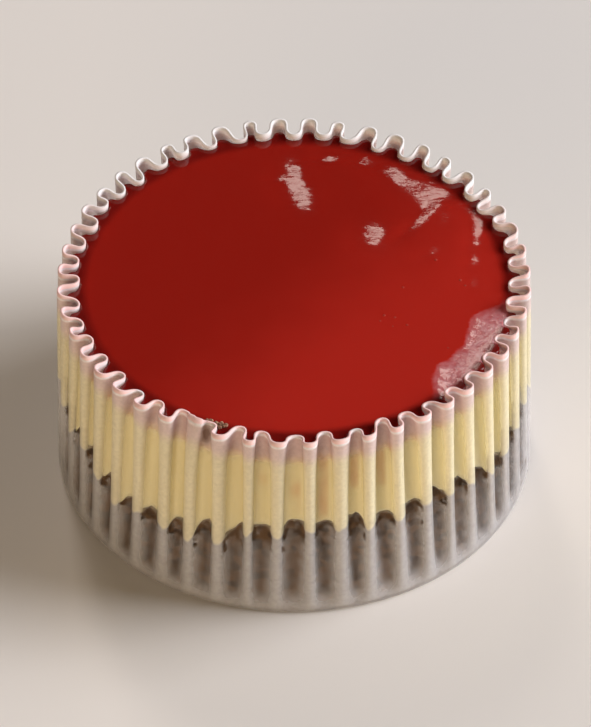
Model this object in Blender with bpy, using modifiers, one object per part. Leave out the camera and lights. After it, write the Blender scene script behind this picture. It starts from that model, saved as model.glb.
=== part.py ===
"""Individual cheesecake in a pleated paper case: crumb base, filling and a thin jelly top.

Units are metres and +Z is up. The origin lies on the table, below the middle of the case.
"""

import math
import random
from collections import namedtuple

import bpy

# Paper case, gathered up from one flat disc of paper
CASE_RADIUS = 0.0350  # over the outer folds
CASE_HEIGHT = 0.0346
PAPER = 0.0003
FOOT_BEND = 0.0010  # the floor turns up into the wall within this distance
PLEATS = 48
FIRST_FOLD = math.radians(-90)  # an inner fold faces straight to the front
FOLD_SHARE = 0.88  # round folds are this much shallower than sharp ones in the same paper
WALL_LEVELS = (0.0050, 0.0140)  # between the foot and the rim
UNEVEN_WIDTH = 0.12  # a pleat is up to this share wider or narrower than the average
UNEVEN_DEPTH = 0.10
UNEVEN_RIM = 0.0003

# Contents, as heights above the table
GAP = 0.0003  # between touching pieces
BASE_TOP = 0.0170
FILLING_TOP = 0.0300
JELLY_TOP = 0.0331
FLUTE_SHARE = 0.55  # the contents fill the outer folds to this share of their depth
CRUMB_WAVE = 0.0005  # the base is pressed down by hand, so its top edge wanders by this much
CRUMB_DIP = 0.0012  # in the outer folds the filling has run this far down past the crumbs
CRUMB_SAG = 0.0040  # left of the front the base was pressed thinner by this much
SAG_TURN = math.radians(-128.5)
SAG_SPREAD = math.radians(18)
MENISCUS_WIDTH = 0.0016
MENISCUS_RISE = 0.0003

# Points round each pleat
PAPER_POINTS = 6
CONTENTS_POINTS = 4
MERGE = 0.000001

SEED = 11

Pleat = namedtuple("Pleat", "start width depth rim_drop")


def clear_scene():
    for old in list(bpy.data.objects):
        bpy.data.objects.remove(old, do_unlink=True)


def uneven_pleats():
    """The pleats in order round the case, their widths filling exactly one turn."""
    chance = random.Random(SEED)
    shares = [chance.uniform(1 - UNEVEN_WIDTH, 1 + UNEVEN_WIDTH) for _ in range(PLEATS)]
    pleats = []
    start = FIRST_FOLD - math.pi * shares[0] / sum(shares)
    for share in shares:
        width = 2 * math.pi * share / sum(shares)
        depth = chance.uniform(1 - UNEVEN_DEPTH, 1)
        pleats.append(Pleat(start, width, depth, chance.uniform(0, UNEVEN_RIM)))
        start += width
    return pleats


def fold_depth(height):
    """Depth of a full pleat: the paper that the flat disc has to spare at this height."""
    gathered = math.pi * CASE_RADIUS / PLEATS
    flat = math.pi * (CASE_RADIUS + max(0.0, height - FOOT_BEND)) / PLEATS
    return FOLD_SHARE * math.sqrt(flat**2 - gathered**2)


def crumb_wander(angle):
    """How far the top edge of the base lies above or below its mean level."""
    slow = math.sin(3 * angle + 0.7)
    quick = math.sin(11 * angle + 2.1) + 0.6 * math.sin(23 * angle)
    off_sag = (angle - SAG_TURN + math.pi) % (2 * math.pi) - math.pi
    sag = CRUMB_SAG * math.exp(-0.5 * (off_sag / SAG_SPREAD) ** 2)
    return CRUMB_WAVE * (0.4 * slow + 0.35 * quick) - sag


def material(name, colour, roughness, coat=0.0):
    made = bpy.data.materials.new(name)
    made.use_nodes = True
    shader = made.node_tree.nodes["Principled BSDF"]
    shader.inputs["Base Color"].default_value = (*colour, 1.0)
    shader.inputs["Roughness"].default_value = roughness
    shader.inputs["Metallic"].default_value = 0.0
    shader.inputs["Coat Weight"].default_value = coat
    return made


def turned(name, profile, points_per_pleat):
    """A mesh object spun from (radius, height) points, listed down the outer side."""
    outline = bpy.data.meshes.new(name + "_profile")
    edges = [(i, i + 1) for i in range(len(profile) - 1)]
    outline.from_pydata([(radius, 0.0, height) for radius, height in profile], edges, [])
    spun = bpy.data.objects.new(name, outline)
    bpy.context.scene.collection.objects.link(spun)
    screw = spun.modifiers.new("Screw", "SCREW")
    screw.steps = points_per_pleat * PLEATS
    screw.render_steps = screw.steps
    screw.use_merge_vertices = True
    screw.merge_threshold = MERGE
    graph = bpy.context.evaluated_depsgraph_get()
    mesh = bpy.data.meshes.new_from_object(spun.evaluated_get(graph))
    mesh.name = name
    spun.modifiers.clear()
    spun.data = mesh
    bpy.data.meshes.remove(outline)
    return spun


def pleat_round(mesh, pleats, fill):
    """Moves a turned mesh's points into the pleats. A fill of 1 reaches the outer folds."""
    for vertex in mesh.vertices:
        x, y, height = vertex.co
        radius = math.hypot(x, y)
        if radius < MERGE:
            continue
        turns = (math.atan2(y, x) / (2 * math.pi)) % 1.0
        index, share = divmod(turns * PLEATS, 1.0)
        pleat = pleats[int(index) % PLEATS]
        angle = pleat.start + share * pleat.width
        outward = 0.5 + 0.5 * math.cos(2 * math.pi * share)
        radius -= pleat.depth * fold_depth(height) * (1 - fill * outward)
        if abs(height - CASE_HEIGHT) < GAP:
            height -= pleat.rim_drop * (1 - outward)
        if abs(height - BASE_TOP) < 2 * GAP:
            height += crumb_wander(angle) - CRUMB_DIP * outward
        vertex.co = (radius * math.cos(angle), radius * math.sin(angle), height)


def finish(piece, collection, finish_material):
    """Puts a piece in the object's collection, with its material and soft shading."""
    bpy.context.scene.collection.objects.unlink(piece)
    collection.objects.link(piece)
    piece.data.materials.clear()
    piece.data.materials.append(finish_material)
    piece.data.shade_smooth()
    piece.data.set_sharp_from_angle(angle=math.radians(50))


def paper_case(pleats, collection):
    profile = [(CASE_RADIUS, CASE_HEIGHT)]
    profile += [(CASE_RADIUS, level) for level in reversed(WALL_LEVELS)]
    profile += [(CASE_RADIUS, FOOT_BEND), (CASE_RADIUS - FOOT_BEND, 0.0), (0.0, 0.0)]
    case = turned("paper_case", profile, PAPER_POINTS)
    pleat_round(case.data, pleats, 1.0)
    wall = case.modifiers.new("Paper", "SOLIDIFY")
    wall.thickness = PAPER
    wall.offset = -1.0
    wall.use_even_offset = True
    finish(case, collection, material("greaseproof_paper", (0.80, 0.77, 0.72), 0.80))


def biscuit_base(pleats, collection):
    side = CASE_RADIUS - PAPER - GAP
    bottom = PAPER + GAP
    profile = [
        (0.0, BASE_TOP),
        (side, BASE_TOP),
        (side, WALL_LEVELS[0]),
        (side, bottom + FOOT_BEND),
        (side - FOOT_BEND, bottom),
        (0.0, bottom),
    ]
    base = turned("biscuit_base", profile, CONTENTS_POINTS)
    pleat_round(base.data, pleats, FLUTE_SHARE)
    finish(base, collection, material("cocoa_crumb", (0.11, 0.06, 0.035), 0.90))


def cheesecake_filling(pleats, collection):
    side = CASE_RADIUS - PAPER - GAP
    bottom = BASE_TOP + GAP
    profile = [(0.0, FILLING_TOP), (side, FILLING_TOP), (side, bottom), (0.0, bottom)]
    filling = turned("cheesecake_filling", profile, CONTENTS_POINTS)
    pleat_round(filling.data, pleats, FLUTE_SHARE)
    finish(filling, collection, material("baked_cream_cheese", (0.86, 0.72, 0.38), 0.55))


def jelly_topping(pleats, collection):
    side = CASE_RADIUS - PAPER - GAP
    bottom = FILLING_TOP + GAP
    profile = [
        (0.0, JELLY_TOP),
        (side - MENISCUS_WIDTH, JELLY_TOP),
        (side, JELLY_TOP + MENISCUS_RISE),
        (side, bottom),
        (0.0, bottom),
    ]
    jelly = turned("jelly_topping", profile, CONTENTS_POINTS)
    pleat_round(jelly.data, pleats, FLUTE_SHARE)
    finish(jelly, collection, material("set_berry_jelly", (0.30, 0.008, 0.006), 0.08, coat=1.0))


def main():
    clear_scene()
    collection = bpy.data.collections.new("cheesecake")
    bpy.context.scene.collection.children.link(collection)
    pleats = uneven_pleats()
    paper_case(pleats, collection)
    biscuit_base(pleats, collection)
    cheesecake_filling(pleats, collection)
    jelly_topping(pleats, collection)


main()
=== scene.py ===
from math import cos, pi, radians, sin

import bpy
import numpy as np
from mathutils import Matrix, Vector


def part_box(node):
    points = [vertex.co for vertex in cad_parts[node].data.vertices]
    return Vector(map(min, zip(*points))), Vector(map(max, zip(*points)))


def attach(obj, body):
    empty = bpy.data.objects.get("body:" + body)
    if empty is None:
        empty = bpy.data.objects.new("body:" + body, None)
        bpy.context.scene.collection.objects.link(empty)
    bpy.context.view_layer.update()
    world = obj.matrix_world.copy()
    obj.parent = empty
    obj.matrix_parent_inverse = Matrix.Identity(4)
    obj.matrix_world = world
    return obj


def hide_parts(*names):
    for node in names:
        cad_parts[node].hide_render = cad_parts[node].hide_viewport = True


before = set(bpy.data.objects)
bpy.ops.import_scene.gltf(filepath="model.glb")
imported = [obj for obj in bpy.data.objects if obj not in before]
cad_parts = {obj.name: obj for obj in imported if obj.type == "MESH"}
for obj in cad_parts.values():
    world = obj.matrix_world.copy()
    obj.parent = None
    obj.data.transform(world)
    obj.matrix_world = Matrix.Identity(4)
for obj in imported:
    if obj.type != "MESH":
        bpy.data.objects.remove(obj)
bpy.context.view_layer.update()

caseLow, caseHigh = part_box("paper_case")
print("frame loaded")

# Every length is in metres, every height is above the table.
# The pleats are one shape, shared by the case and by the cake that was pressed and poured into it.
pleatSizes = {
    "Radius": 0.99985 * min(caseHigh.x, caseHigh.y, -caseLow.x, -caseLow.y),  # a hair inside the box
    "Height": caseHigh.z - caseLow.z - 0.00002,
    "Foot bend": 0.0008,  # the floor turns up into the wall within this distance
    "Pleats": 48,
    "Start": pi / 48,  # half a pleat, so that an inner fold faces straight to the front
    "Foot fan": 0.030,  # radians, how far the pleats spread to both sides of the front at the foot
    "Depth share": 0.87,  # of what the flat disc has to spare; the rest goes into the rounding
    "Bulge": 0.078,  # of a pleat's width, how far both folds swell so that its flanks stand steep
    "Open rim": 0.0115,  # radians, how far the outer folds open towards the rim
    "Close wall": 0.0065,  # and how much narrower they are below it
    "Uneven width": 0.36,  # how far a pleat may be out of place, in pleats
    "Uneven depth": 0.22,
    "Uneven crest": 0.00030,
    "Uneven rim": 0.00090,
    "Rim lean": 0.0012,
    "Foot wander": 0.0022,
    "Pinched crest": 32,  # counted from the right: this outer fold is pressed in at the rim
    "Pinch": 0.75,
    "Seed": 3,
}
caseSizes = {"Columns": 1056, "Floor rows": 4, "Wall rows": 38}
layerColumns = 720
paperThickness = 0.00030
pressGap = 0.00006  # between the paper and what is pressed against it
hair = 0.000001  # two places this close are one

# The cake's layers. Where two meet, their edge wanders up and down round the cake, and in the
# outer folds the layer above has run down a little.
layerEdges = {
    "plain": (0.0170, 0.0299, 0.0331),  # top of the crumb, of the filling, of the jelly
    "wander": (0.0012, 0.0005, 0.0),
    "dip": (0.0016, -0.0003, 0.0),
    "lumps": (60, 150, 340),  # round the cake, from broad ones to small ones
    "shares": (0.7, 0.5, 0.35),
    "dipLumps": 40,
    "dipUneven": 0.7,
    "seed": 5,
    "bulge": 0.062,
    "fullFrom": 0.88,  # of the radius: out from here an edge wanders fully
    "fade": 10,  # and further in by a share that falls with this power
    # where the crumb was pressed thinner, mostly left of the front, and in one place piled higher:
    # angle and half width in degrees, and how far its top lies lower there
    "sags": ((-128.5, 18.0, 0.0042), (-88.5, 4.5, -0.0016), (-26.0, 6.0, 0.0022)),
}
layerSizes = {
    "biscuit_base": {"top": 0, "bottom": None, "fill": 0.66, "rows": (10, 40, 4)},
    "cheesecake_filling": {"top": 1, "bottom": 0, "fill": 0.60, "rows": (10, 26, 4)},
    "jelly_topping": {"top": 2, "bottom": 1, "fill": 0.62, "rows": (90, 8, 4)},
}

calc = "ShaderNodeMath"
vectorCalc = "ShaderNodeVectorMath"
blend = "ShaderNodeMix"
noise = "ShaderNodeTexNoise"
principled = "ShaderNodeBsdfPrincipled"
ramp = "ShaderNodeMapRange"  # takes a value, where it starts and ends, and what these two turn into
smooth = {"interpolation_type": "SMOOTHSTEP"}
plus = {"operation": "ADD"}
minus = {"operation": "SUBTRACT"}
times = {"operation": "MULTIPLY"}
timesPlus = {"operation": "MULTIPLY_ADD"}


def linear(hexColour):
    # sRGB hex to the linear values that shaders take
    channels = [int(hexColour[i:i + 2], 16) / 255 for i in (1, 3, 5)]
    return tuple(c / 12.92 if c <= 0.04045 else ((c + 0.055) / 1.055) ** 2.4 for c in channels) + (1.0,)


def addNode(tree, kind, feeds=(), **settings):
    # feeds lists the first inputs, or maps an input's name or number to what goes in: a value, a socket,
    # or a node, which stands for its first output
    node = tree.nodes.new(kind)
    for name, value in settings.items():
        setattr(node, name, value)
    pairs = feeds.items() if isinstance(feeds, dict) else enumerate(feeds)
    for name, value in pairs:
        socket = node.inputs[name]
        if isinstance(value, bpy.types.Node):
            value = value.outputs[0]
        if isinstance(value, bpy.types.NodeSocket):
            tree.links.new(value, socket)
        else:
            socket.default_value = value
    return node


def newTree(name, inputs, outputs):
    # inputs and outputs: socket name -> type, such as Float
    tree = bpy.data.node_groups.new(name, "GeometryNodeTree")
    for sockets, way in ((inputs, "INPUT"), (outputs, "OUTPUT")):
        for socketName, kind in sockets.items():
            tree.interface.new_socket(socketName, in_out=way, socket_type="NodeSocket" + kind)
    return tree, tree.nodes.new("NodeGroupInput").outputs


def socketKinds(sizes):
    return {name: "Int" if isinstance(size, int) else "Float" for name, size in sizes.items()}


pleatSockets = socketKinds(pleatSizes)

# How steeply each of these grows with the height, and the last one out towards the side
pleatPowers = {"pinch": 7.0, "open": 5.0, "lean": 3.0, "rim dip": 12.0, "side": 12.0}
# How often unevenness comes round the case, as the scale of a noise on a ring of radius 1
pleatLumps = {"width": 8.0, "foot": 3.0}


# A place at this angle, this far from the middle and at this height
def placeAt(tree, angle, reach, height):
    sides = []
    for way in ("COSINE", "SINE"):
        part = addNode(tree, calc, [angle], operation=way)
        sides.append(addNode(tree, calc, [reach, part], **times))
    return addNode(tree, "ShaderNodeCombineXYZ", [*sides, height])


# Takes a point of a plain turned shape (Turn round it, Reach from the middle, Rise from the table)
# to its place among the pleats. Side is that shape's own radius, and Fill says how far into the
# outer folds it goes. Groove comes out as 0 on an outer fold and 1 in an inner one.
def pleatShape():
    pointSockets = dict.fromkeys(("Turn", "Reach", "Rise", "Fill", "Side"), "Float")
    results = {"Position": "Vector", "Groove": "Float"}
    tree, given = newTree("pleatShape", {**pointSockets, **pleatSockets}, results)

    full = addNode(tree, calc, [given["Turn"], 2 * pi], **times)
    ring = placeAt(tree, full, 1.0, given["Seed"])
    heightShare = addNode(tree, calc, [given["Rise"], given["Height"]], operation="DIVIDE", use_clamp=True)
    lowShare = addNode(tree, calc, [1.0, heightShare], **minus)

    # which pleat this is, and where in it: outward is 1 at the outer fold, 0 at the inner one
    place = addNode(tree, calc, [given["Turn"], given["Pleats"]], **times)
    foldNumber = addNode(tree, calc, [place], operation="FLOOR")
    share = addNode(tree, calc, [place], operation="FRACT")
    nearest = addNode(tree, calc, [place], operation="ROUND")
    crestNumber = addNode(tree, calc, [nearest, given["Pleats"]], operation="FLOORED_MODULO")
    phase = addNode(tree, calc, [share, 2 * pi], **times)
    wave = addNode(tree, calc, [phase], operation="COSINE")
    outward = addNode(tree, calc, [wave, 0.5, 0.5], **timesPlus, use_clamp=True)
    inward = addNode(tree, calc, [1.0, outward], **minus)

    # chance values, one for each fold or crest; the numbers only keep them apart
    chances = []
    for which, shift in ((foldNumber, 0.5), (foldNumber, 100.5), (crestNumber, 200.5), (foldNumber, 300.5)):
        key = addNode(tree, calc, [which, shift], **plus)
        seeded = addNode(tree, calc, [given["Seed"], 17.0, key], **timesPlus)
        chances.append(addNode(tree, "ShaderNodeTexWhiteNoise", {"W": seeded}, noise_dimensions="1D"))
    foldChance, leanChance, crestChance, rimChance = chances

    # a pleat is as deep as the paper that the flat disc has to spare at this height
    rise = addNode(tree, calc, [given["Rise"], given["Foot bend"]], **minus)
    above = addNode(tree, calc, [rise, 0.0], operation="MAXIMUM")
    gathered = addNode(tree, calc, [given["Radius"], given["Radius"]], **times)
    spread = addNode(tree, calc, [above, given["Radius"]], **plus)
    flat = addNode(tree, calc, [spread, spread], **times)
    spare = addNode(tree, calc, [flat, gathered], **minus)
    root = addNode(tree, calc, [spare], operation="SQRT")
    halfPleat = addNode(tree, calc, [pi, given["Pleats"]], operation="DIVIDE")
    sharpDepth = addNode(tree, calc, [root, halfPleat], **times)
    meanDepth = addNode(tree, calc, [sharpDepth, given["Depth share"]], **times)
    lost = addNode(tree, calc, [foldChance, given["Uneven depth"]], **times)
    kept = addNode(tree, calc, [1.0, lost], **minus)
    depth = addNode(tree, calc, [meanDepth, kept], **times)

    # how far in from the outer fold
    filled = addNode(tree, calc, [given["Fill"], outward], **times)
    unfilled = addNode(tree, calc, [1.0, filled], **minus)
    foldIn = addNode(tree, calc, [depth, unfilled], **times)
    crestIn = addNode(tree, calc, [crestChance, given["Uneven crest"]], **times)
    crestRise = addNode(tree, calc, [crestIn, heightShare], **times)
    crestPart = addNode(tree, calc, [crestRise, outward], **times)
    unevenIn = addNode(tree, calc, [foldIn, crestPart], **plus)
    isPinched = addNode(tree, calc, [crestNumber, given["Pinched crest"], 0.1], operation="COMPARE")
    pinchRise = addNode(tree, calc, [heightShare, pleatPowers["pinch"]], operation="POWER")
    pinchShare = addNode(tree, calc, [isPinched, given["Pinch"]], **times)
    pinchHere = addNode(tree, calc, [pinchShare, pinchRise], **times)
    pinchDepth = addNode(tree, calc, [pinchHere, depth], **times)
    inset = addNode(tree, calc, [pinchDepth, filled, unevenIn], **timesPlus)
    insetShare = addNode(tree, calc, [inset, given["Side"]], operation="DIVIDE")
    leftShare = addNode(tree, calc, [1.0, insetShare], **minus)
    radius = addNode(tree, calc, [given["Reach"], leftShare], **times)

    # pleats of uneven width
    widthNoise = addNode(tree, noise, {"Vector": ring, "Scale": pleatLumps["width"], "Detail": 1.0})
    widthShift = addNode(tree, calc, [widthNoise, 0.5], **minus)
    perTurn = addNode(tree, calc, [given["Uneven width"], given["Pleats"]], operation="DIVIDE")
    warp = addNode(tree, calc, [widthShift, perTurn], **times)
    turned = addNode(tree, calc, [given["Turn"], warp], **plus)
    straight = addNode(tree, calc, [turned, 2 * pi, given["Start"]], **timesPlus)

    # gathered paper swells at both folds, the more the deeper the pleat, and its flanks stand steep
    twice = addNode(tree, calc, [phase, 2.0], **times)
    twiceSine = addNode(tree, calc, [twice], operation="SINE")
    gather = addNode(tree, calc, [above, given["Radius"]], operation="DIVIDE")
    pleatTurn = addNode(tree, calc, [halfPleat, 2.0], **times)
    swellTurn = addNode(tree, calc, [given["Bulge"], pleatTurn], **times)
    sideShare = addNode(tree, calc, [given["Reach"], given["Side"]], operation="DIVIDE", use_clamp=True)
    nearSide = addNode(tree, calc, [sideShare, pleatPowers["side"]], operation="POWER")
    gatherSide = addNode(tree, calc, [gather, nearSide], **times)
    swellMost = addNode(tree, calc, [swellTurn, gatherSide], **times)
    swollen = addNode(tree, calc, [twiceSine, swellMost, straight], **timesPlus)

    # what lies inside the paper keeps off its flanks too
    phaseSine = addNode(tree, calc, [phase], operation="SINE")
    offSide = addNode(tree, calc, [given["Side"], given["Radius"]], **minus)
    offShare = addNode(tree, calc, [offSide, given["Radius"]], operation="DIVIDE")
    offTurn = addNode(tree, calc, [offShare, nearSide], **times)
    openRise = addNode(tree, calc, [heightShare, pleatPowers["open"]], operation="POWER")
    openHere = addNode(tree, calc, [openRise, given["Open rim"]], **times)
    closeHere = addNode(tree, calc, [gather, given["Close wall"]], **times)
    openTurn = addNode(tree, calc, [openHere, closeHere], **minus)
    openSide = addNode(tree, calc, [openTurn, nearSide, offTurn], **timesPlus)
    inside = addNode(tree, calc, [phaseSine, openSide, swollen], **timesPlus)

    # towards the foot the pleats fan out from the front
    frontWay = addNode(tree, calc, [straight, pi / 2], **plus)
    frontSine = addNode(tree, calc, [frontWay], operation="SINE")
    fan = addNode(tree, calc, [given["Foot fan"], lowShare], **times)
    spaced = addNode(tree, calc, [frontSine, fan, inside], **timesPlus)

    # they lean at the rim, and wander off to one side towards the foot
    leanWay = addNode(tree, calc, [leanChance, 0.5], **minus)
    leanSize = addNode(tree, calc, [given["Rim lean"], given["Radius"]], operation="DIVIDE")
    leanTurn = addNode(tree, calc, [leanWay, leanSize], **times)
    leanGrow = addNode(tree, calc, [heightShare, pleatPowers["lean"]], operation="POWER")
    leanHere = addNode(tree, calc, [leanTurn, leanGrow], **times)
    leanSide = addNode(tree, calc, [leanHere, nearSide], **times)
    leant = addNode(tree, calc, [leanSide, inward, spaced], **timesPlus)
    footNoise = addNode(tree, noise, {"Vector": ring, "Scale": pleatLumps["foot"], "Detail": 0.0})
    footWay = addNode(tree, calc, [footNoise, 0.5], **minus)
    footSize = addNode(tree, calc, [given["Foot wander"], given["Radius"]], operation="DIVIDE")
    footTurn = addNode(tree, calc, [footWay, footSize], **times)
    angle = addNode(tree, calc, [footTurn, lowShare, leant], **timesPlus)

    # the rim dips a little between the outer folds
    topShare = addNode(tree, calc, [heightShare, pleatPowers["rim dip"]], operation="POWER")
    rimDip = addNode(tree, calc, [rimChance, given["Uneven rim"]], **times)
    rimHere = addNode(tree, calc, [rimDip, inward], **times)
    dip = addNode(tree, calc, [rimHere, topShare], **times)
    height = addNode(tree, calc, [given["Rise"], dip], **minus)

    position = placeAt(tree, angle, radius, height)
    addNode(tree, "NodeGroupOutput", {"Position": position, "Groove": inward})
    return tree


# A grid of Columns by rows, which the caller bends into a closed round shape. Turn runs from 0 to 1
# round it, and row counts the rows.
def roundGrid(tree, given, rowCount):
    columns = addNode(tree, calc, [given["Columns"], 1.0], **plus)
    lines = addNode(tree, calc, [rowCount, 1.0], **plus)
    sheet = addNode(tree, "GeometryNodeMeshGrid", [1.0, 1.0, columns, lines])
    split = addNode(tree, "ShaderNodeSeparateXYZ", [addNode(tree, "GeometryNodeInputPosition")])
    turn = addNode(tree, calc, [split.outputs[0], 0.5], **plus)
    along = addNode(tree, calc, [split.outputs[1], 0.5], **plus)
    row = addNode(tree, calc, [along, rowCount], **times)
    return sheet, turn, row


# Bends the grid into the pleats, and joins its ends and its middle
def closeUp(tree, given, sheet, shape, place):
    feeds = {name: given[name] for name in pleatSizes}
    shaped = addNode(tree, "GeometryNodeGroup", {**feeds, **place}, node_tree=shape)
    marked = addNode(tree, "GeometryNodeStoreNamedAttribute", {
        "Geometry": sheet, "Name": "groove", "Value": shaped.outputs["Groove"]})
    bent = addNode(tree, "GeometryNodeSetPosition", {
        "Geometry": marked, "Position": shaped.outputs["Position"]})
    joined = addNode(tree, "GeometryNodeMergeByDistance", {"Geometry": bent, "Distance": hair})
    soft = addNode(tree, "GeometryNodeSetShadeSmooth", {"Geometry": joined})
    real = addNode(tree, "GeometryNodeRealizeInstances", {"Geometry": soft})
    coated = addNode(tree, "GeometryNodeSetMaterial", {"Geometry": real, "Material": given["Material"]})
    addNode(tree, "NodeGroupOutput", {"Geometry": coated})


# The paper: the first rows run out over the floor, the rest round the foot bend and up the wall
def caseTree(shape):
    sockets = {**socketKinds(caseSizes), "Material": "Material", **pleatSockets}
    tree, given = newTree("pleatedCase", sockets, {"Geometry": "Geometry"})
    rowCount = addNode(tree, calc, [given["Floor rows"], given["Wall rows"]], **plus)
    sheet, turn, row = roundGrid(tree, given, rowCount)
    floorEdge = addNode(tree, calc, [given["Radius"], given["Foot bend"]], **minus)
    bendLength = addNode(tree, calc, [given["Foot bend"], pi / 2], **times)
    straightUp = addNode(tree, calc, [given["Height"], given["Foot bend"]], **minus)
    wallLength = addNode(tree, calc, [bendLength, straightUp], **plus)
    across = addNode(tree, ramp, [row, 0.0, given["Floor rows"], 0.0, floorEdge])
    upShare = addNode(tree, ramp, [row, given["Floor rows"], rowCount])
    closer = addNode(tree, calc, [upShare, 1.35], operation="POWER")  # rows are closer near the foot
    up = addNode(tree, calc, [closer, wallLength], **times)
    bendTurn = addNode(tree, calc, [up, given["Foot bend"]], operation="DIVIDE")
    bendAngle = addNode(tree, calc, [bendTurn, pi / 2], operation="MINIMUM")
    bendOut = addNode(tree, calc, [bendAngle], operation="SINE")
    bendUp = addNode(tree, calc, [bendAngle], operation="COSINE")
    bendLift = addNode(tree, calc, [1.0, bendUp], **minus)
    beyond = addNode(tree, calc, [up, bendLength], **minus)
    wall = addNode(tree, calc, [beyond, 0.0], operation="MAXIMUM")
    reach = addNode(tree, calc, [bendOut, given["Foot bend"], across], **timesPlus)
    rise = addNode(tree, calc, [bendLift, given["Foot bend"], wall], **timesPlus)
    place = {"Turn": turn, "Reach": reach, "Rise": rise, "Fill": 1.0, "Side": given["Radius"]}
    closeUp(tree, given, sheet, shape, place)
    return tree


# A layer of the cake: rows run out over its top, down its side and back in under it
def layerTree(shape):
    counts = dict.fromkeys(("Columns", "Top rows", "Side rows", "Bottom rows"), "Int")
    lengths = dict.fromkeys(("Top", "Bottom", "Inset", "Fill"), "Float")
    sockets = {**counts, **lengths, "Material": "Material", **pleatSockets}
    tree, given = newTree("cakeLayer", sockets, {"Geometry": "Geometry"})
    sideEnd = addNode(tree, calc, [given["Top rows"], given["Side rows"]], **plus)
    rowCount = addNode(tree, calc, [sideEnd, given["Bottom rows"]], **plus)
    sheet, turn, row = roundGrid(tree, given, rowCount)
    side = addNode(tree, calc, [given["Radius"], given["Inset"]], **minus)
    out = addNode(tree, ramp, [row, 0.0, given["Top rows"]])
    outSoon = addNode(tree, calc, [out, 0.75], operation="POWER")  # rows are closer near the edge
    down = addNode(tree, ramp, [row, given["Top rows"], sideEnd])
    back = addNode(tree, ramp, [row, sideEnd, rowCount])
    reachShare = addNode(tree, calc, [outSoon, back], **minus)
    reach = addNode(tree, calc, [reachShare, side], **times)
    rise = addNode(tree, ramp, [down, 0.0, 1.0, given["Top"], given["Bottom"]])
    place = {"Turn": turn, "Reach": reach, "Rise": rise, "Fill": given["Fill"], "Side": side}
    closeUp(tree, given, sheet, shape, place)
    return tree


# Runs a tree on a new object and keeps the result as a plain mesh
def grow(name, tree, values, thickness=None):
    piece = bpy.data.objects.new(name, bpy.data.meshes.new(name + "Start"))
    bpy.context.scene.collection.objects.link(piece)
    modifier = piece.modifiers.new("shape", "NODES")
    modifier.node_group = tree
    for item in tree.interface.items_tree:
        if item.in_out == "INPUT" and item.name in values:
            modifier[item.identifier] = values[item.name]
    if thickness:
        wall = piece.modifiers.new("thickness", "SOLIDIFY")
        wall.thickness = thickness
        wall.offset = -1.0
        wall.use_even_offset = True
    graph = bpy.context.evaluated_depsgraph_get()
    grown = piece.evaluated_get(graph)
    mesh = bpy.data.meshes.new_from_object(grown, preserve_all_data_layers=True, depsgraph=graph)
    piece.modifiers.clear()
    piece.data = mesh
    mesh.name = name
    print(name, len(mesh.polygons), "faces")
    return piece


def readPoints(mesh):
    points = np.empty(len(mesh.vertices) * 3)
    mesh.vertices.foreach_get("co", points)
    groove = np.empty(len(mesh.vertices))
    mesh.attributes["groove"].data.foreach_get("value", groove)
    return points.reshape(-1, 3), groove


# Smooth chance values round the cake, between -1 and 1
def ringNoise(angle, lumps, seed):
    heights = np.random.default_rng(seed).uniform(-1, 1, lumps)
    place = (angle / (2 * pi) % 1.0) * lumps
    before = np.floor(place).astype(int)
    share = place - before
    share = share * share * (3 - 2 * share)
    return heights[before % lumps] * (1 - share) + heights[(before + 1) % lumps] * share


# For each point, how far each of the three edges is from its plain height there
def edgeShifts(points, groove):
    angle = np.arctan2(points[:, 1], points[:, 0])
    shifts = []
    for number in range(3):
        seed = layerEdges["seed"] + 10 * number
        noises = [ringNoise(angle, lumps, seed + lumps) for lumps in layerEdges["lumps"]]
        shift = layerEdges["wander"][number] * sum(map(np.multiply, layerEdges["shares"], noises))
        dipNoise = ringNoise(angle, layerEdges["dipLumps"], seed)
        dip = layerEdges["dip"][number] * (1 + layerEdges["dipUneven"] * dipNoise)
        shifts.append(shift - dip * (1 - groove))
    for turn, spread, depth in layerEdges["sags"]:
        offSag = (np.degrees(angle) - turn + 180) % 360 - 180
        shifts[0] -= depth * np.exp(-0.5 * (offSag / spread) ** 2)
    return shifts


# Moves a layer's plain edges to their wandering heights, fully at the side and less further in
def settle(piece):
    points, groove = readPoints(piece.data)
    reachShare = np.hypot(points[:, 0], points[:, 1]) / pleatSizes["Radius"]
    closeness = (reachShare / layerEdges["fullFrom"]).clip(0, 1)
    plain = np.array([0.0, *layerEdges["plain"]])
    moves = np.vstack([np.zeros(len(points)), *edgeShifts(points, groove)])
    height = points[:, 2].copy()
    above = np.searchsorted(plain, height - hair).clip(1, 3)
    share = (height - plain[above - 1]) / (plain[above] - plain[above - 1])
    column = np.arange(len(points))
    move = moves[above - 1, column] * (1 - share) + moves[above, column] * share
    points[:, 2] += move * closeness ** layerEdges["fade"]
    piece.data.vertices.foreach_set("co", points.ravel())
    piece.data.update()


# Marks the paper with the plain height of what lies behind it, so that its looks follow the edges
def markLayers(piece):
    points, groove = readPoints(piece.data)
    shifts = edgeShifts(points, groove)
    crumb, cream, jelly = (plain + shift for plain, shift in zip(layerEdges["plain"], shifts))
    plainCrumb, plainCream, plainJelly = layerEdges["plain"]
    height = points[:, 2]
    low = height / crumb * plainCrumb
    middle = plainCrumb + (height - crumb) / (cream - crumb) * (plainCream - plainCrumb)
    high = plainCream + (height - cream) / (jelly - cream) * (plainJelly - plainCream)
    behind = np.where(height < crumb, low, np.where(height < cream, middle, high))
    marks = piece.data.attributes.new("behind", "FLOAT", "POINT")
    marks.data.foreach_set("value", behind)


def newMaterial(name):
    made = bpy.data.materials.new(name)
    made.use_nodes = True
    made.node_tree.nodes.clear()
    return made, made.node_tree


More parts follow.
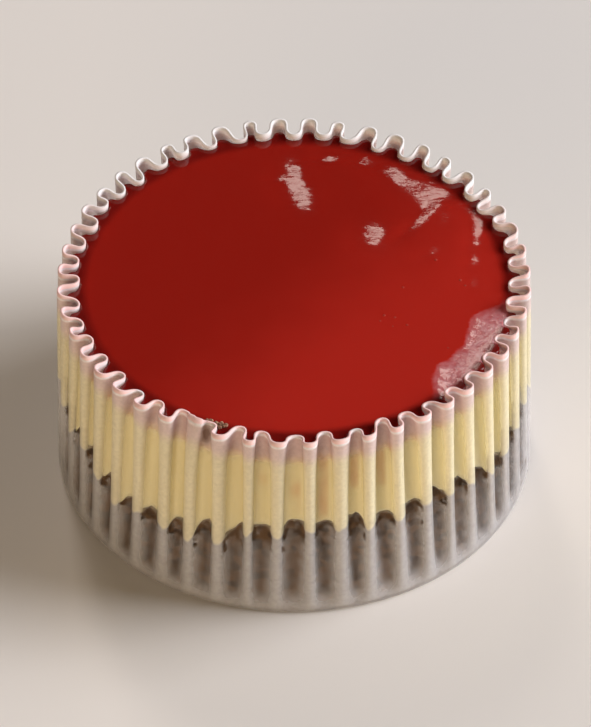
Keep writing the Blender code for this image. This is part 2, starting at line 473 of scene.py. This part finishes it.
# A look's first colour, with others laid over it, each as far as its factor says
def tinted(tree, look, first, tints):
    colour = linear(look[first])
    for factor, tint in tints:
        feeds = {"Factor": factor, 6: colour, 7: linear(look[tint])}
        colour = addNode(tree, blend, feeds, data_type="RGBA").outputs[2]
    return colour


# How much of the light each of the paper's two faces stops: on an outer fold, and in an inner one,
# where it clings to the cake and clears
paperLook = {
    "overCrumb": (0.39, 0.05),
    "overCream": (0.68, 0.18),
    "atJelly": (0.74, 0.44),
    "dryRim": (0.95, 0.86),
    "atFoot": (0.38, 0.34),
    "wetCrumb": 0.01,
    "fibres": 0.4,  # how unevenly, from one fibre to the next
    "wetUneven": 0.0130,  # how far the lower end of the wet crumb wanders
    "jellyDown": 0.0014,  # in the inner folds the jelly shows this much further down
    "white": "#F1EEED",
    "creamy": "#FCF2D0",  # oily from the filling
    "pink": "#F1DBD5",  # stained by the jelly
    "dry": "#F8F0EF",
    "edge": "#FFD6D1",  # the cut edge, with a painted pink glow at the front, and plain behind
    "plainEdge": "#F4F0EE",
    "edgeHeight": 0.00070,  # the cut edge and the crimped line below it
    "edgeFade": 0.00020,
    "stain": "#6B4428",  # brown, in one fold
    "stainAt": (-0.01284, -0.02953, 0.0317),
    "stainStretch": (1.0, 1.0, 0.36),
    "stainRagged": 0.0008,
    "stainStops": 0.9,
    "spans": {  # where each of these starts and ends
        "touch": (0.02, 0.60),  # on the way into an inner fold
        "cling": (0.14, 0.42),
        "spotSize": (0.35, 1.0, 0.05, 0.36),
        "spots": (0.30, 0.70, -1.0, 1.0),  # in the tone of its pattern
        "plainEdge": (0.004, 0.020),  # on the way to the back
        "stain": (0.0008, 0.0014, 0.9, 0.0),  # out from its middle
        "foot": (0.0005, 0.0046, 1.0, 0.0),  # as heights of what lies behind the paper
        "wet": (0.0142, 0.0155),
        "cream": (0.0167, 0.0174),
        "jelly": (0.0290, 0.0318),
        "dry": (0.0331, 0.0336),  # as heights of the paper itself
    },
    # coarse crumbs, wet blots and fibres, the last drawn coarse enough to show: width in mm, and detail
    "patterns": ((1.25, 2.0), (1.923, 2.0), (0.5556, 4.0)),
}


def greaseproofPaper():
    # bleached greaseproof paper, crimped: matt white where dry, clearer where the cake has wetted it
    made, tree = newMaterial("greaseproofPaper")
    look = paperLook
    place = addNode(tree, "ShaderNodeTexCoord").outputs["Object"]
    split = addNode(tree, "ShaderNodeSeparateXYZ", [place])
    height = split.outputs["Z"]
    groove, behind = (
        addNode(tree, "ShaderNodeAttribute", attribute_name=name).outputs["Fac"]
        for name in ("groove", "behind"))
    grain, blot, fibre = (
        addNode(tree, noise, {"Vector": place, "Scale": 1000 / width, "Detail": detail})
        for width, detail in look["patterns"])
    spans = look["spans"]

    # the crumb shows through in spots, one to each coarse crumb that touches the paper
    spots = addNode(tree, ramp, [grain, *spans["spots"]], **smooth)
    spotSize = addNode(tree, ramp, [groove, *spans["spotSize"]])
    spotted = addNode(tree, calc, [spots, spotSize, 1.0], **timesPlus)
    crumbSide = addNode(tree, ramp, [groove, 0.0, 1.0, *look["overCrumb"]])
    crumbOpacity = addNode(tree, calc, [crumbSide, spotted], **times)

    # the wettest crumb, 1 to 2 mm below the filling, with an uneven lower end
    uneven = look["wetUneven"]
    blotShift = addNode(tree, calc, [blot, uneven, -uneven / 2], **timesPlus)
    blotHeight = addNode(tree, calc, [behind, blotShift], **plus)
    wetRise = addNode(tree, ramp, [blotHeight, *spans["wet"]], **smooth)
    cling = addNode(tree, ramp, [groove, *spans["cling"]], **smooth)
    wet = addNode(tree, calc, [wetRise, cling], **times)
    opacity = addNode(tree, blend, {"Factor": wet, 2: crumbOpacity, 3: look["wetCrumb"]})

    # from foot to rim, each zone fades into the next
    touch = addNode(tree, ramp, [groove, *spans["touch"]], **smooth)
    isFoot = addNode(tree, ramp, [behind, *spans["foot"]], **smooth)
    isCream = addNode(tree, ramp, [behind, *spans["cream"]], **smooth)
    jellyHeight = addNode(tree, calc, [groove, look["jellyDown"], behind], **timesPlus)
    isJelly = addNode(tree, ramp, [jellyHeight, *spans["jelly"]], **smooth)
    isDry = addNode(tree, ramp, [height, *spans["dry"]], **smooth)
    zones = ((isFoot, "atFoot"), (isCream, "overCream"), (isJelly, "atJelly"), (isDry, "dryRim"))
    for factor, zone in zones:
        side = addNode(tree, ramp, [touch, 0.0, 1.0, *look[zone]])
        opacity = addNode(tree, blend, {"Factor": factor, 2: opacity, 3: side})
    cloud = addNode(tree, calc, [fibre, 0.5], **minus)
    clouded = addNode(tree, calc, [cloud, look["fibres"], 1.0], **timesPlus)
    faceOpacity = addNode(tree, calc, [opacity, clouded], **times, use_clamp=True)
    edgeLow = pleatSizes["Height"] - look["edgeHeight"]
    isEdge = addNode(tree, ramp, [height, edgeLow - look["edgeFade"], edgeLow], **smooth)
    alpha = addNode(tree, blend, {"Factor": isEdge, 2: faceOpacity, 3: 1.0})

    # the cut edge is opaque, with a painted pink glow at the front that gives way to its plain colour
    # towards the back
    isPlain = addNode(tree, ramp, [split.outputs["Y"], *spans["plainEdge"]])
    isPlainEdge = addNode(tree, calc, [isPlain, isEdge], **times)
    fromStain = addNode(tree, vectorCalc, [place, look["stainAt"]], **minus)
    stretched = addNode(tree, vectorCalc, [fromStain, look["stainStretch"]], **times)
    stainWay = addNode(tree, vectorCalc, [stretched], operation="LENGTH").outputs["Value"]
    ragged = addNode(tree, calc, [grain, look["stainRagged"], stainWay], **timesPlus)
    isStain = addNode(tree, ramp, [ragged, *spans["stain"]])
    tints = (
        (isCream, "creamy"), (isJelly, "pink"), (isDry, "dry"), (isEdge, "edge"),
        (isPlainEdge, "plainEdge"), (isStain, "stain"))
    alpha = addNode(tree, blend, {"Factor": isStain, 2: alpha, 3: look["stainStops"]})
    relief = addNode(tree, "ShaderNodeBump", {"Height": fibre, "Strength": 0.15, "Distance": 0.0001})
    paper = addNode(tree, principled, {
        "Base Color": tinted(tree, look, "white", tints), "Roughness": 0.48,
        "Alpha": alpha, "Normal": relief})
    addNode(tree, "ShaderNodeOutputMaterial", [paper])
    return made


# The filling is palest where it stands proud, darker in the paper's inner folds, where shade is painted
# and tan patches lie, and stained from above by the jelly
fillingLook = {
    "pale": "#F6EBB8",
    # painted shade in the inner folds
    "deep": "#E8DBA3",
    "tanPatch": "#D6A25C",
    "tanMiddle": 0.0045,  # the tan patches are strongest at the front, a little right of the middle
    "stained": "#C87D5F",
    "stainUneven": 0.0030,
    "spans": {  # where each of these starts and ends
        "deep": (0.84, 1.0),  # on the way into an inner fold
        "foldShadeSide": (0.010, 0.026, 1.0, 0.15),  # to the left and the right, where the painted shade fades
        "tanPatch": (0.42, 0.70),  # in the tone of its pattern
        "tanSide": (0.009, 0.0125, 1.0, 0.0),  # to both sides of its middle
        "stained": (0.0280, 0.0300),  # as heights
    },
    "patterns": ((2.381, 3.0), (6.667, 1.0)),  # mottles and baked patches: width in mm, and detail
}


def bakedCreamCheese():
    # set cream cheese, baked: pale yellow, with painted shade and tan patches in the inner folds, soft and
    # moist
    made, tree = newMaterial("bakedCreamCheese")
    look = fillingLook
    place = addNode(tree, "ShaderNodeTexCoord").outputs["Object"]
    split = addNode(tree, "ShaderNodeSeparateXYZ", [place])
    groove = addNode(tree, "ShaderNodeAttribute", attribute_name="groove").outputs["Fac"]
    fine, broad = (
        addNode(tree, noise, {"Vector": place, "Scale": 1000 / width, "Detail": detail})
        for width, detail in look["patterns"])
    spans = look["spans"]
    # painted shade in the inner folds, fading to the left and the right
    grooveShade = addNode(tree, ramp, [groove, *spans["deep"]], **smooth)
    sideWay = addNode(tree, calc, [split.outputs["X"]], operation="ABSOLUTE")
    foldShadeSide = addNode(tree, ramp, [sideWay, *spans["foldShadeSide"]])
    isFoldShade = addNode(tree, calc, [grooveShade, foldShadeSide], **times)
    isTan = addNode(tree, ramp, [broad, *spans["tanPatch"]], **smooth)
    tanOff = addNode(tree, calc, [split.outputs["X"], look["tanMiddle"]], **minus)
    tanWay = addNode(tree, calc, [tanOff], operation="ABSOLUTE")
    tanSide = addNode(tree, ramp, [tanWay, *spans["tanSide"]])
    tanHere = addNode(tree, calc, [isTan, tanSide], **times)
    tanInFolds = addNode(tree, calc, [tanHere, isFoldShade], **times)
    uneven = look["stainUneven"]
    mottle = addNode(tree, calc, [fine, uneven, -uneven / 2], **timesPlus)
    stainHeight = addNode(tree, calc, [split.outputs["Z"], mottle], **plus)
    isStained = addNode(tree, ramp, [stainHeight, *spans["stained"]], **smooth)
    tints = ((isFoldShade, "deep"), (tanInFolds, "tanPatch"), (isStained, "stained"))
    cream = addNode(tree, principled, {
        "Base Color": tinted(tree, look, "pale", tints), "Roughness": 0.45})
    addNode(tree, "ShaderNodeOutputMaterial", [cream])
    return made


# The darkest and the lightest grains, and their width in mm, for the pressed base and for the loose
# crumbs, which are wet with jelly and filling
crumbLooks = {
    "cocoaCrumb": {"dark": "#3A2611", "light": "#63472A", "grain": 1.111},
    "stainedCrumb": {"dark": "#6B4431", "light": "#C39C80", "grain": 1.111},
}


def biscuitCrumb(name):
    # biscuit crumb: matt and grainy, each grain in its own tone
    made, tree = newMaterial(name)
    look = crumbLooks[name]
    place = addNode(tree, "ShaderNodeTexCoord").outputs["Object"]
    grain = addNode(tree, "ShaderNodeTexVoronoi", {"Vector": place, "Scale": 1000 / look["grain"]})
    tone = addNode(tree, "ShaderNodeSeparateColor", [grain.outputs["Color"]])
    crumb = addNode(tree, principled, {
        "Base Color": tinted(tree, look, "dark", [(tone, "light")]),
        "Roughness": 0.85, "Specular IOR Level": 0.25})
    addNode(tree, "ShaderNodeOutputMaterial", [crumb])
    return made


# The jelly is deep red, and brighter towards the side where more light soaks into it
jellyLook = {
    "deep": "#951C13",
    "bright": "#B3271D",
    "thin": "#A1503C",  # at its side, over the pale filling
    "edge": "#6E120E",  # painted shade, where its top meets the paper and, on the bank, in the mouths of the outer folds
    # painted pink reflection, on the bank where the jelly climbs the paper
    "paintedSheen": "#D5959A",
    "sheenShare": (0.55, 0.95),  # of the painted reflection's colour, in the low and the high tones of its mottling
    "lit": (0.74, -0.67, 0.0),
    "litUneven": 0.010,
    "gloss": 0.055,  # roughness, away from the ripples
    "rippleDull": 0.07,
    "mottlingHeight": 0.7,
    "streakHeight": 0.6,
    "streakStretch": (0.35, 1.0, 1.0),
    "spans": {  # where each of these starts and ends
        "lit": (-0.007, 0.018),  # on the way to the light
        "thin": (0.0298, 0.0324, 1.0, 0.0),  # as heights
        "mottling": (0.40, 0.62),  # in the tone of its pattern
    },
    "patterns": ((11.11, 2.0), (1.0, 2.0), (1.111, 3.0)),  # clouds, mottling, streaks: width in mm, detail
}


def setBerryJelly():
    # set fruit jelly, poured: deep red with a wet gloss, rougher where it climbs the paper, with a painted
    # pink reflection there and painted shade next to the paper
    made, tree = newMaterial("setBerryJelly")
    look = jellyLook
    place = addNode(tree, "ShaderNodeTexCoord").outputs["Object"]
    paintedSheen, rippled, shade, dulled = (
        addNode(tree, "ShaderNodeAttribute", attribute_name=name).outputs["Fac"]
        for name in ("paintedSheen", "rippled", "shade", "dull"))
    stretched = addNode(tree, "ShaderNodeMapping", {"Vector": place, "Scale": look["streakStretch"]})
    cloud, mottling, streaks = (
        addNode(tree, noise, {"Vector": spot, "Scale": 1000 / width, "Detail": detail})
        for spot, (width, detail) in zip((place, place, stretched), look["patterns"]))
    spans = look["spans"]
    across = addNode(tree, vectorCalc, [place, look["lit"]], operation="DOT_PRODUCT")
    uneven = look["litUneven"]
    cloudShift = addNode(tree, calc, [cloud, uneven, -uneven / 2], **timesPlus)
    litPlace = addNode(tree, calc, [across.outputs["Value"], cloudShift], **plus)
    litShare = addNode(tree, ramp, [litPlace, *spans["lit"]], **smooth)
    height = addNode(tree, "ShaderNodeSeparateXYZ", [place]).outputs["Z"]
    isThin = addNode(tree, ramp, [height, *spans["thin"]])
    # a mottled pink reflection is painted on the bank
    mottledShare = addNode(tree, ramp, [mottling, *spans["mottling"], *look["sheenShare"]])
    sheenShare = addNode(tree, calc, [mottledShare, paintedSheen], **times)
    tints = ((litShare, "bright"), (isThin, "thin"), (shade, "edge"), (sheenShare, "paintedSheen"))
    mottlingLow = addNode(tree, calc, [mottling, look["mottlingHeight"]], **times)
    mottlingHeight = addNode(tree, calc, [mottlingLow, paintedSheen], **times)
    streaksHere = addNode(tree, calc, [streaks, rippled], **times)
    surface = addNode(tree, calc, [streaksHere, look["streakHeight"], mottlingHeight], **timesPlus)
    relief = addNode(tree, "ShaderNodeBump", {"Height": surface, "Strength": 1.0, "Distance": 0.0002})
    soft = addNode(tree, calc, [rippled, look["rippleDull"], look["gloss"]], **timesPlus)
    dull = addNode(tree, calc, [dulled, soft], **plus)
    jelly = addNode(tree, principled, {
        "Base Color": tinted(tree, look, "deep", tints), "Roughness": dull, "IOR": 1.38,
        "Normal": relief, "Subsurface Weight": 0.2, "Subsurface Radius": (0.004, 0.0006, 0.0004),
        "Subsurface Scale": 1.0})
    addNode(tree, "ShaderNodeOutputMaterial", [jelly])
    return made


bubbleLook = {"deep": "#9C271E", "pale": "#B2463C", "filmWidth": 3.333}  # the width in mm


def jellyBubble():
    # air under a skin of jelly: paler red than the jelly round it, and less glossy
    made, tree = newMaterial("jellyBubble")
    place = addNode(tree, "ShaderNodeTexCoord").outputs["Object"]
    film = addNode(tree, noise, {"Vector": place, "Scale": 1000 / bubbleLook["filmWidth"]})
    skin = addNode(tree, principled, {
        "Base Color": tinted(tree, bubbleLook, "deep", [(film, "pale")]),
        "Roughness": 0.55, "IOR": 1.38, "Specular IOR Level": 0.05})
    addNode(tree, "ShaderNodeOutputMaterial", [skin])
    return made


# The jelly set with a few ripples, mostly where it was poured last. Each tips a small patch of the
# surface the same way. x, y, length and width are in millimetres, turn is in degrees from the right.
ripples = [
    {"at": (0.9, 19.8), "size": (2.7, 2.1), "turn": 105, "tip": 1.0},
    {"at": (-0.4, 24.8), "size": (2.4, 1.7), "turn": 80, "tip": 0.8},
    {"at": (-2.4, 23.4), "size": (1.3, 0.6), "turn": 10, "tip": 0.6},
    {"at": (4.9, 27.4), "size": (1.9, 0.6), "turn": 5, "tip": 0.9},
    {"at": (10.4, 26.8), "size": (1.7, 0.6), "turn": -8, "tip": 0.9},
    {"at": (11.9, 10.9), "size": (2.4, 2.3), "turn": 60, "tip": 1.1},
    {"at": (14.6, 24.2), "size": (2.4, 1.2), "turn": -30, "tip": 0.9},
    {"at": (18.6, 20.2), "size": (4.2, 2.9), "turn": -42, "tip": 1.0},
    {"at": (21.6, 17.6), "size": (2.4, 2.6), "turn": -20, "tip": 1.0},
    {"at": (18.2, 13.8), "size": (3.2, 0.9), "turn": 48, "tip": 1.0},
    {"at": (25.6, 16.2), "size": (3.2, 1.0), "turn": -42, "tip": 0.9},
    {"at": (26.8, 11.6), "size": (2.8, 1.0), "turn": 80, "tip": 0.9},
    {"at": (26.3, 5.4), "size": (1.2, 0.9), "turn": 80, "tip": 0.5},
    {"at": (26.2, 1.0), "size": (1.3, 0.9), "turn": 80, "tip": 0.45},
    {"at": (20.2, 7.6), "size": (1.6, 0.8), "turn": 40, "tip": 0.45},
]
jellySurface = {
    "tip": (-0.103, -0.020),  # how a ripple leans the surface, as a slope
    "swell": 0.000002,
    "swells": ((0.011, 0.4), (0.007, 2.1), (0.0046, 1.2)),  # from crest to crest, and which way
    "bankEnd": 0.0030,  # where the jelly climbs the paper, this far inside the outer folds
    "bankWidth": (0.0008, 0.0048),  # all round, and at its widest
    "bankTurn": radians(-27.5),
    "bankSpread": radians(19.5),
    "bankPower": 8,  # how suddenly it ends at both sides
    "bankUneven": (0.13, 95),  # how much of its width, and how often round the cake
    "rise": 0.0010,
    "riseBend": 1.6,  # the higher, the more of it comes at the end
    "riseMost": 1.05,  # of the bank's width: it stops just past the end
    "riseSpread": 0.8,  # of the bank's
    "risePower": 4,
    "sheenBend": 0.3,  # the lower, the sooner the painted reflection and the roughness are full
    "shadeSpan": (0.0302, 0.0314),  # out from the middle, where painted shade darkens the top towards the paper
    "pocketSpan": (0.0312, 0.0320),  # where painted shade darkens the mouths of the outer folds
    "pocketFolds": (0.36, 0.66),  # and where these end, on the way into an inner fold
    "dull": 0.12,  # the bank is rougher than the rest by this much
}


# Ripples, swells and the bank where it climbs the paper, all in the top of the jelly, with marks for its
# looks: a painted pink reflection on the bank, painted shade, and roughness
def poured(piece):
    sizes = jellySurface
    points, groove = readPoints(piece.data)
    x, y, height = points.T.copy()
    top = height > layerEdges["plain"][2] - 0.0001  # its side and its underside stay as they are
    lift = np.zeros(len(points))
    rippled = np.zeros(len(points))
    tipX, tipY = sizes["tip"]
    for ripple in ripples:
        away = np.array(ripple["at"]) / 1000
        long, wide = np.array(ripple["size"]) / 1000
        turn = radians(ripple["turn"])
        dx, dy = x - away[0], y - away[1]
        u = dx * cos(turn) + dy * sin(turn)
        v = -dx * sin(turn) + dy * cos(turn)
        fade = np.exp(-0.5 * ((u / long) ** 2 + (v / wide) ** 2))
        lift -= ripple["tip"] * (dx * tipX + dy * tipY) * fade
        rippled = np.maximum(rippled, fade)
    for length, turn in sizes["swells"]:
        along = (x * cos(turn) + y * sin(turn)) / length
        lift += sizes["swell"] * np.sin(along * 2 * pi + 3 * turn)
    angle = np.arctan2(y, x)
    reach = np.hypot(x, y)
    offTurn = (angle - sizes["bankTurn"] + pi) % (2 * pi) - pi
    offShare = offTurn / sizes["bankSpread"]
    most = np.exp(-(offShare ** sizes["bankPower"]))
    highest = np.exp(-((offShare / sizes["riseSpread"]) ** sizes["risePower"]))
    narrow, broad = sizes["bankWidth"]
    width = narrow * (1 - most) + broad * most
    uneven, lumps = sizes["bankUneven"]
    width *= 1 + uneven * most * ringNoise(angle, lumps, layerEdges["seed"])
    edge = pleatSizes["Radius"] - sizes["bankEnd"]
    climb = ((reach - edge + width) / width).clip(0, sizes["riseMost"])
    lift += sizes["rise"] * highest * climb ** sizes["riseBend"]
    points[:, 2] += np.where(top, lift, 0.0)
    # marks for the looks: painted shade towards the paper and in the folds' mouths, a painted pink
    # reflection on the bank, and a rougher bank
    shade = np.interp(reach, sizes["shadeSpan"], (0, 1))
    pocket = np.interp(reach, sizes["pocketSpan"], (0, 1))
    pocket *= np.interp(groove, sizes["pocketFolds"], (1, 0))
    sheenBank = most * climb.clip(0, 1) ** sizes["sheenBend"]
    marks = {
        "paintedSheen": sheenBank * (1 - pocket),
        "rippled": rippled,
        "shade": shade * (1 - most) + pocket * most,
        "dull": sizes["dull"] * sheenBank,
    }
    for name, values in marks.items():
        made = piece.data.attributes.new(name, "FLOAT", "POINT")
        made.data.foreach_set("value", np.where(top, values, 0.0))
    piece.data.vertices.foreach_set("co", points.ravel())
    piece.data.update()


# A few crumbs that fell into the pressed-in pleat at the rim
crumbSizes = {
    "Count": 34,
    "Seed": 4,
    "Bumps": 0.00030,
    "Ring": 0.0314,
    "Ring spread": 0.0010,
    "Turn": radians(-111.5),
    "Turn spread": radians(6),
    "Height": 0.0333,
    "Smallest": 0.00010,
    "Largest": 0.00036,
}

# Bubbles that rose and set in the jelly's top, right of the middle, just standing out of it
bubbleSizes = {
    "Count": 10,
    "Seed": 12,
    "Bumps": 0.0,
    "Ring": 0.0205,
    "Ring spread": 0.0150,
    "Turn": radians(-8),
    "Turn spread": radians(50),
    "Height": 0.03291,
    "Smallest": 0.00021,
    "Largest": 0.00032,
}
lumpNoise = {"Scale": 2200.0, "Detail": 1.0}  # gives a crumb dents of about half a millimetre


# Small lumps scattered over a patch that follows the ring: crumbs, or bubbles in the jelly
def scatterTree():
    sockets = {**socketKinds(crumbSizes), "Material": "Material"}
    tree, given = newTree("scatter", sockets, {"Geometry": "Geometry"})
    chances = []
    for number, kind in enumerate(("FLOAT", "FLOAT", "FLOAT", "FLOAT_VECTOR")):
        seed = addNode(tree, calc, [given["Seed"], float(number)], **plus)
        chances.append(addNode(tree, "FunctionNodeRandomValue", {"Seed": seed}, data_type=kind))
    ringChance, turnChance, sizeChance = (chance.outputs[1] for chance in chances[:3])
    ringOff = addNode(tree, calc, [ringChance, 0.5], **minus)
    turnOff = addNode(tree, calc, [turnChance, 0.5], **minus)
    ring = addNode(tree, calc, [ringOff, given["Ring spread"], given["Ring"]], **timesPlus)
    turn = addNode(tree, calc, [turnOff, given["Turn spread"], given["Turn"]], **timesPlus)
    position = placeAt(tree, turn, ring, given["Height"])
    points = addNode(tree, "GeometryNodePoints", {"Count": given["Count"], "Position": position})
    lump = addNode(tree, "GeometryNodeMeshIcoSphere", {"Radius": 1.0, "Subdivisions": 2})
    size = addNode(tree, ramp, [sizeChance, 0.0, 1.0, given["Smallest"], given["Largest"]])
    spin = addNode(tree, vectorCalc, {0: chances[3].outputs[0], "Scale": 2 * pi}, operation="SCALE")
    copies = addNode(tree, "GeometryNodeInstanceOnPoints", {
        "Points": points, "Instance": lump, "Rotation": spin, "Scale": size})
    real = addNode(tree, "GeometryNodeRealizeInstances", {"Geometry": copies})
    lumpy = addNode(tree, noise, lumpNoise)
    middle = addNode(tree, vectorCalc, [lumpy.outputs["Color"], (0.5, 0.5, 0.5)], **minus)
    offset = addNode(tree, vectorCalc, {0: middle, "Scale": given["Bumps"]}, operation="SCALE")
    bumpy = addNode(tree, "GeometryNodeSetPosition", {"Geometry": real, "Offset": offset})
    coated = addNode(tree, "GeometryNodeSetMaterial", {"Geometry": bumpy, "Material": given["Material"]})
    addNode(tree, "NodeGroupOutput", {"Geometry": coated})
    return tree


shape = pleatShape()
caseValues = {**pleatSizes, **caseSizes, "Material": greaseproofPaper()}
paperCase = grow("paperCase", caseTree(shape), caseValues, paperThickness)
markLayers(paperCase)
layer = layerTree(shape)
layerParts = {
    "biscuit_base": ("biscuitBase", biscuitCrumb("cocoaCrumb"), "cocoa_crumb"),
    "cheesecake_filling": ("cheesecakeFilling", bakedCreamCheese(), "baked_cream_cheese"),
    "jelly_topping": ("jellyTopping", setBerryJelly(), "set_berry_jelly"),
}
pieces = {"paper_case": (paperCase, "greaseproof_paper")}
inset = paperThickness + pressGap
for node, sizes in layerSizes.items():
    name, finish, slot = layerParts[node]
    bottom = inset if sizes["bottom"] is None else layerEdges["plain"][sizes["bottom"]]
    values = {
        **pleatSizes, "Uneven rim": 0.0, "Bulge": layerEdges["bulge"], "Columns": layerColumns,
        "Top": layerEdges["plain"][sizes["top"]], "Bottom": bottom, "Inset": inset,
        "Fill": sizes["fill"], "Material": finish,
    }
    values.update(zip(("Top rows", "Side rows", "Bottom rows"), sizes["rows"]))
    piece = grow(name, layer, values)
    settle(piece)
    pieces[node] = (piece, slot)
poured(pieces["jelly_topping"][0])
scatter = scatterTree()
looseCrumbs = grow("looseCrumbs", scatter, {**crumbSizes, "Material": biscuitCrumb("stainedCrumb")})
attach(looseCrumbs, "root")
jellyBubbles = grow("jellyBubbles", scatter, {**bubbleSizes, "Material": jellyBubble()})
jellyBubbles.data.shade_smooth()
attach(jellyBubbles, "root")
for node, (piece, slot) in pieces.items():
    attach(piece, "root")
    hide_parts(node)
print("cake made")


floorLook = {"radius": 2.5, "colour": "#EBE6E0", "roughness": 0.45}


def studioFloor():
    # painted board, rolled: pale, with a low sheen
    made, tree = newMaterial("paintedBoard")
    board = addNode(tree, principled, {
        "Base Color": linear(floorLook["colour"]), "Roughness": floorLook["roughness"]})
    addNode(tree, "ShaderNodeOutputMaterial", [board])
    bpy.ops.mesh.primitive_circle_add(vertices=96, radius=floorLook["radius"], fill_type="NGON")
    floor = bpy.context.object
    floor.name = "studioFloor"
    floor.data.materials.append(made)


# For each light: azimuth from the right, anticlockwise seen from above, then elevation, distance,
# width and height, brightness, which is per area, so size adds light, and colour, which is warm where
# the light is bounced off wood and walls
daylight = "#FCFBFF"
studioLights = {
    "keyWindow": (10, 44, 1.6, (0.89, 0.89), 6.6, daylight),
    "lowKey": (0, 22, 2.0, (1.0, 0.67), 12.0, daylight),
    "frontFill": (-110, 15, 1.26, (0.72, 0.56), 5.2, "#FFE6C6"),
    "backWindow": (101.5, 46, 1.6, (0.19, 0.38), 10.0, "#FFF2E6"),
    "lowWindow": (108, 24, 1.6, (0.36, 0.50), 5.0, "#FFEFE2"),
}


def softLight(name, azimuth, elevation, distance, size, brightness, colour):
    data = bpy.data.lights.new(name, "AREA")
    data.shape = "RECTANGLE"
    data.size, data.size_y = size
    data.energy = pi * size[0] * size[1] * brightness
    data.color = linear(colour)[:3]
    light = bpy.data.objects.new(name, data)
    bpy.context.scene.collection.objects.link(light)
    a, e = radians(azimuth), radians(elevation)
    light.location = Vector((cos(a) * cos(e), sin(a) * cos(e), sin(e))) * distance
    light.rotation_euler = light.location.to_track_quat("Z", "Y").to_euler()
    light.visible_camera = False


cameraSetup = {"elevation": 43.75, "distance": 2.5, "frameWidth": 0.0873, "aim": (0.0002, 0.0, 0.0175)}


def productCamera():
    e = radians(cameraSetup["elevation"])
    data = bpy.data.cameras.new("productCamera")
    data.sensor_fit = "HORIZONTAL"
    data.lens = data.sensor_width * cameraSetup["distance"] / cameraSetup["frameWidth"]
    data.clip_start, data.clip_end = 0.1, 20.0
    made = bpy.data.objects.new("productCamera", data)
    bpy.context.scene.collection.objects.link(made)
    towards = Vector((0.0, -cos(e), sin(e)))
    made.location = towards * cameraSetup["distance"] + Vector(cameraSetup["aim"])
    made.rotation_euler = (pi / 2 - e, 0.0, 0.0)
    bpy.context.scene.camera = made


# The room gives hardly any light of its own, but what shows of it past the floor is a plain grey
roomColours = {"light": "#0D0C0B", "shown": "#A39D96"}


def darkRoom():
    world = bpy.data.worlds.new("darkRoom")
    world.use_nodes = True
    tree = world.node_tree
    tree.nodes.clear()
    shown = addNode(tree, "ShaderNodeLightPath").outputs["Is Camera Ray"]
    colour = tinted(tree, roomColours, "light", [(shown, "shown")])
    backdrop = addNode(tree, "ShaderNodeBackground", [colour])
    addNode(tree, "ShaderNodeOutputWorld", [backdrop])
    bpy.context.scene.world = world


studioFloor()
for name, setup in studioLights.items():
    softLight(name, *setup)
darkRoom()
bpy.context.scene.view_settings.view_transform = "Standard"
bpy.context.scene.cycles.transparent_max_bounces = 24
productCamera()
print("stage set")
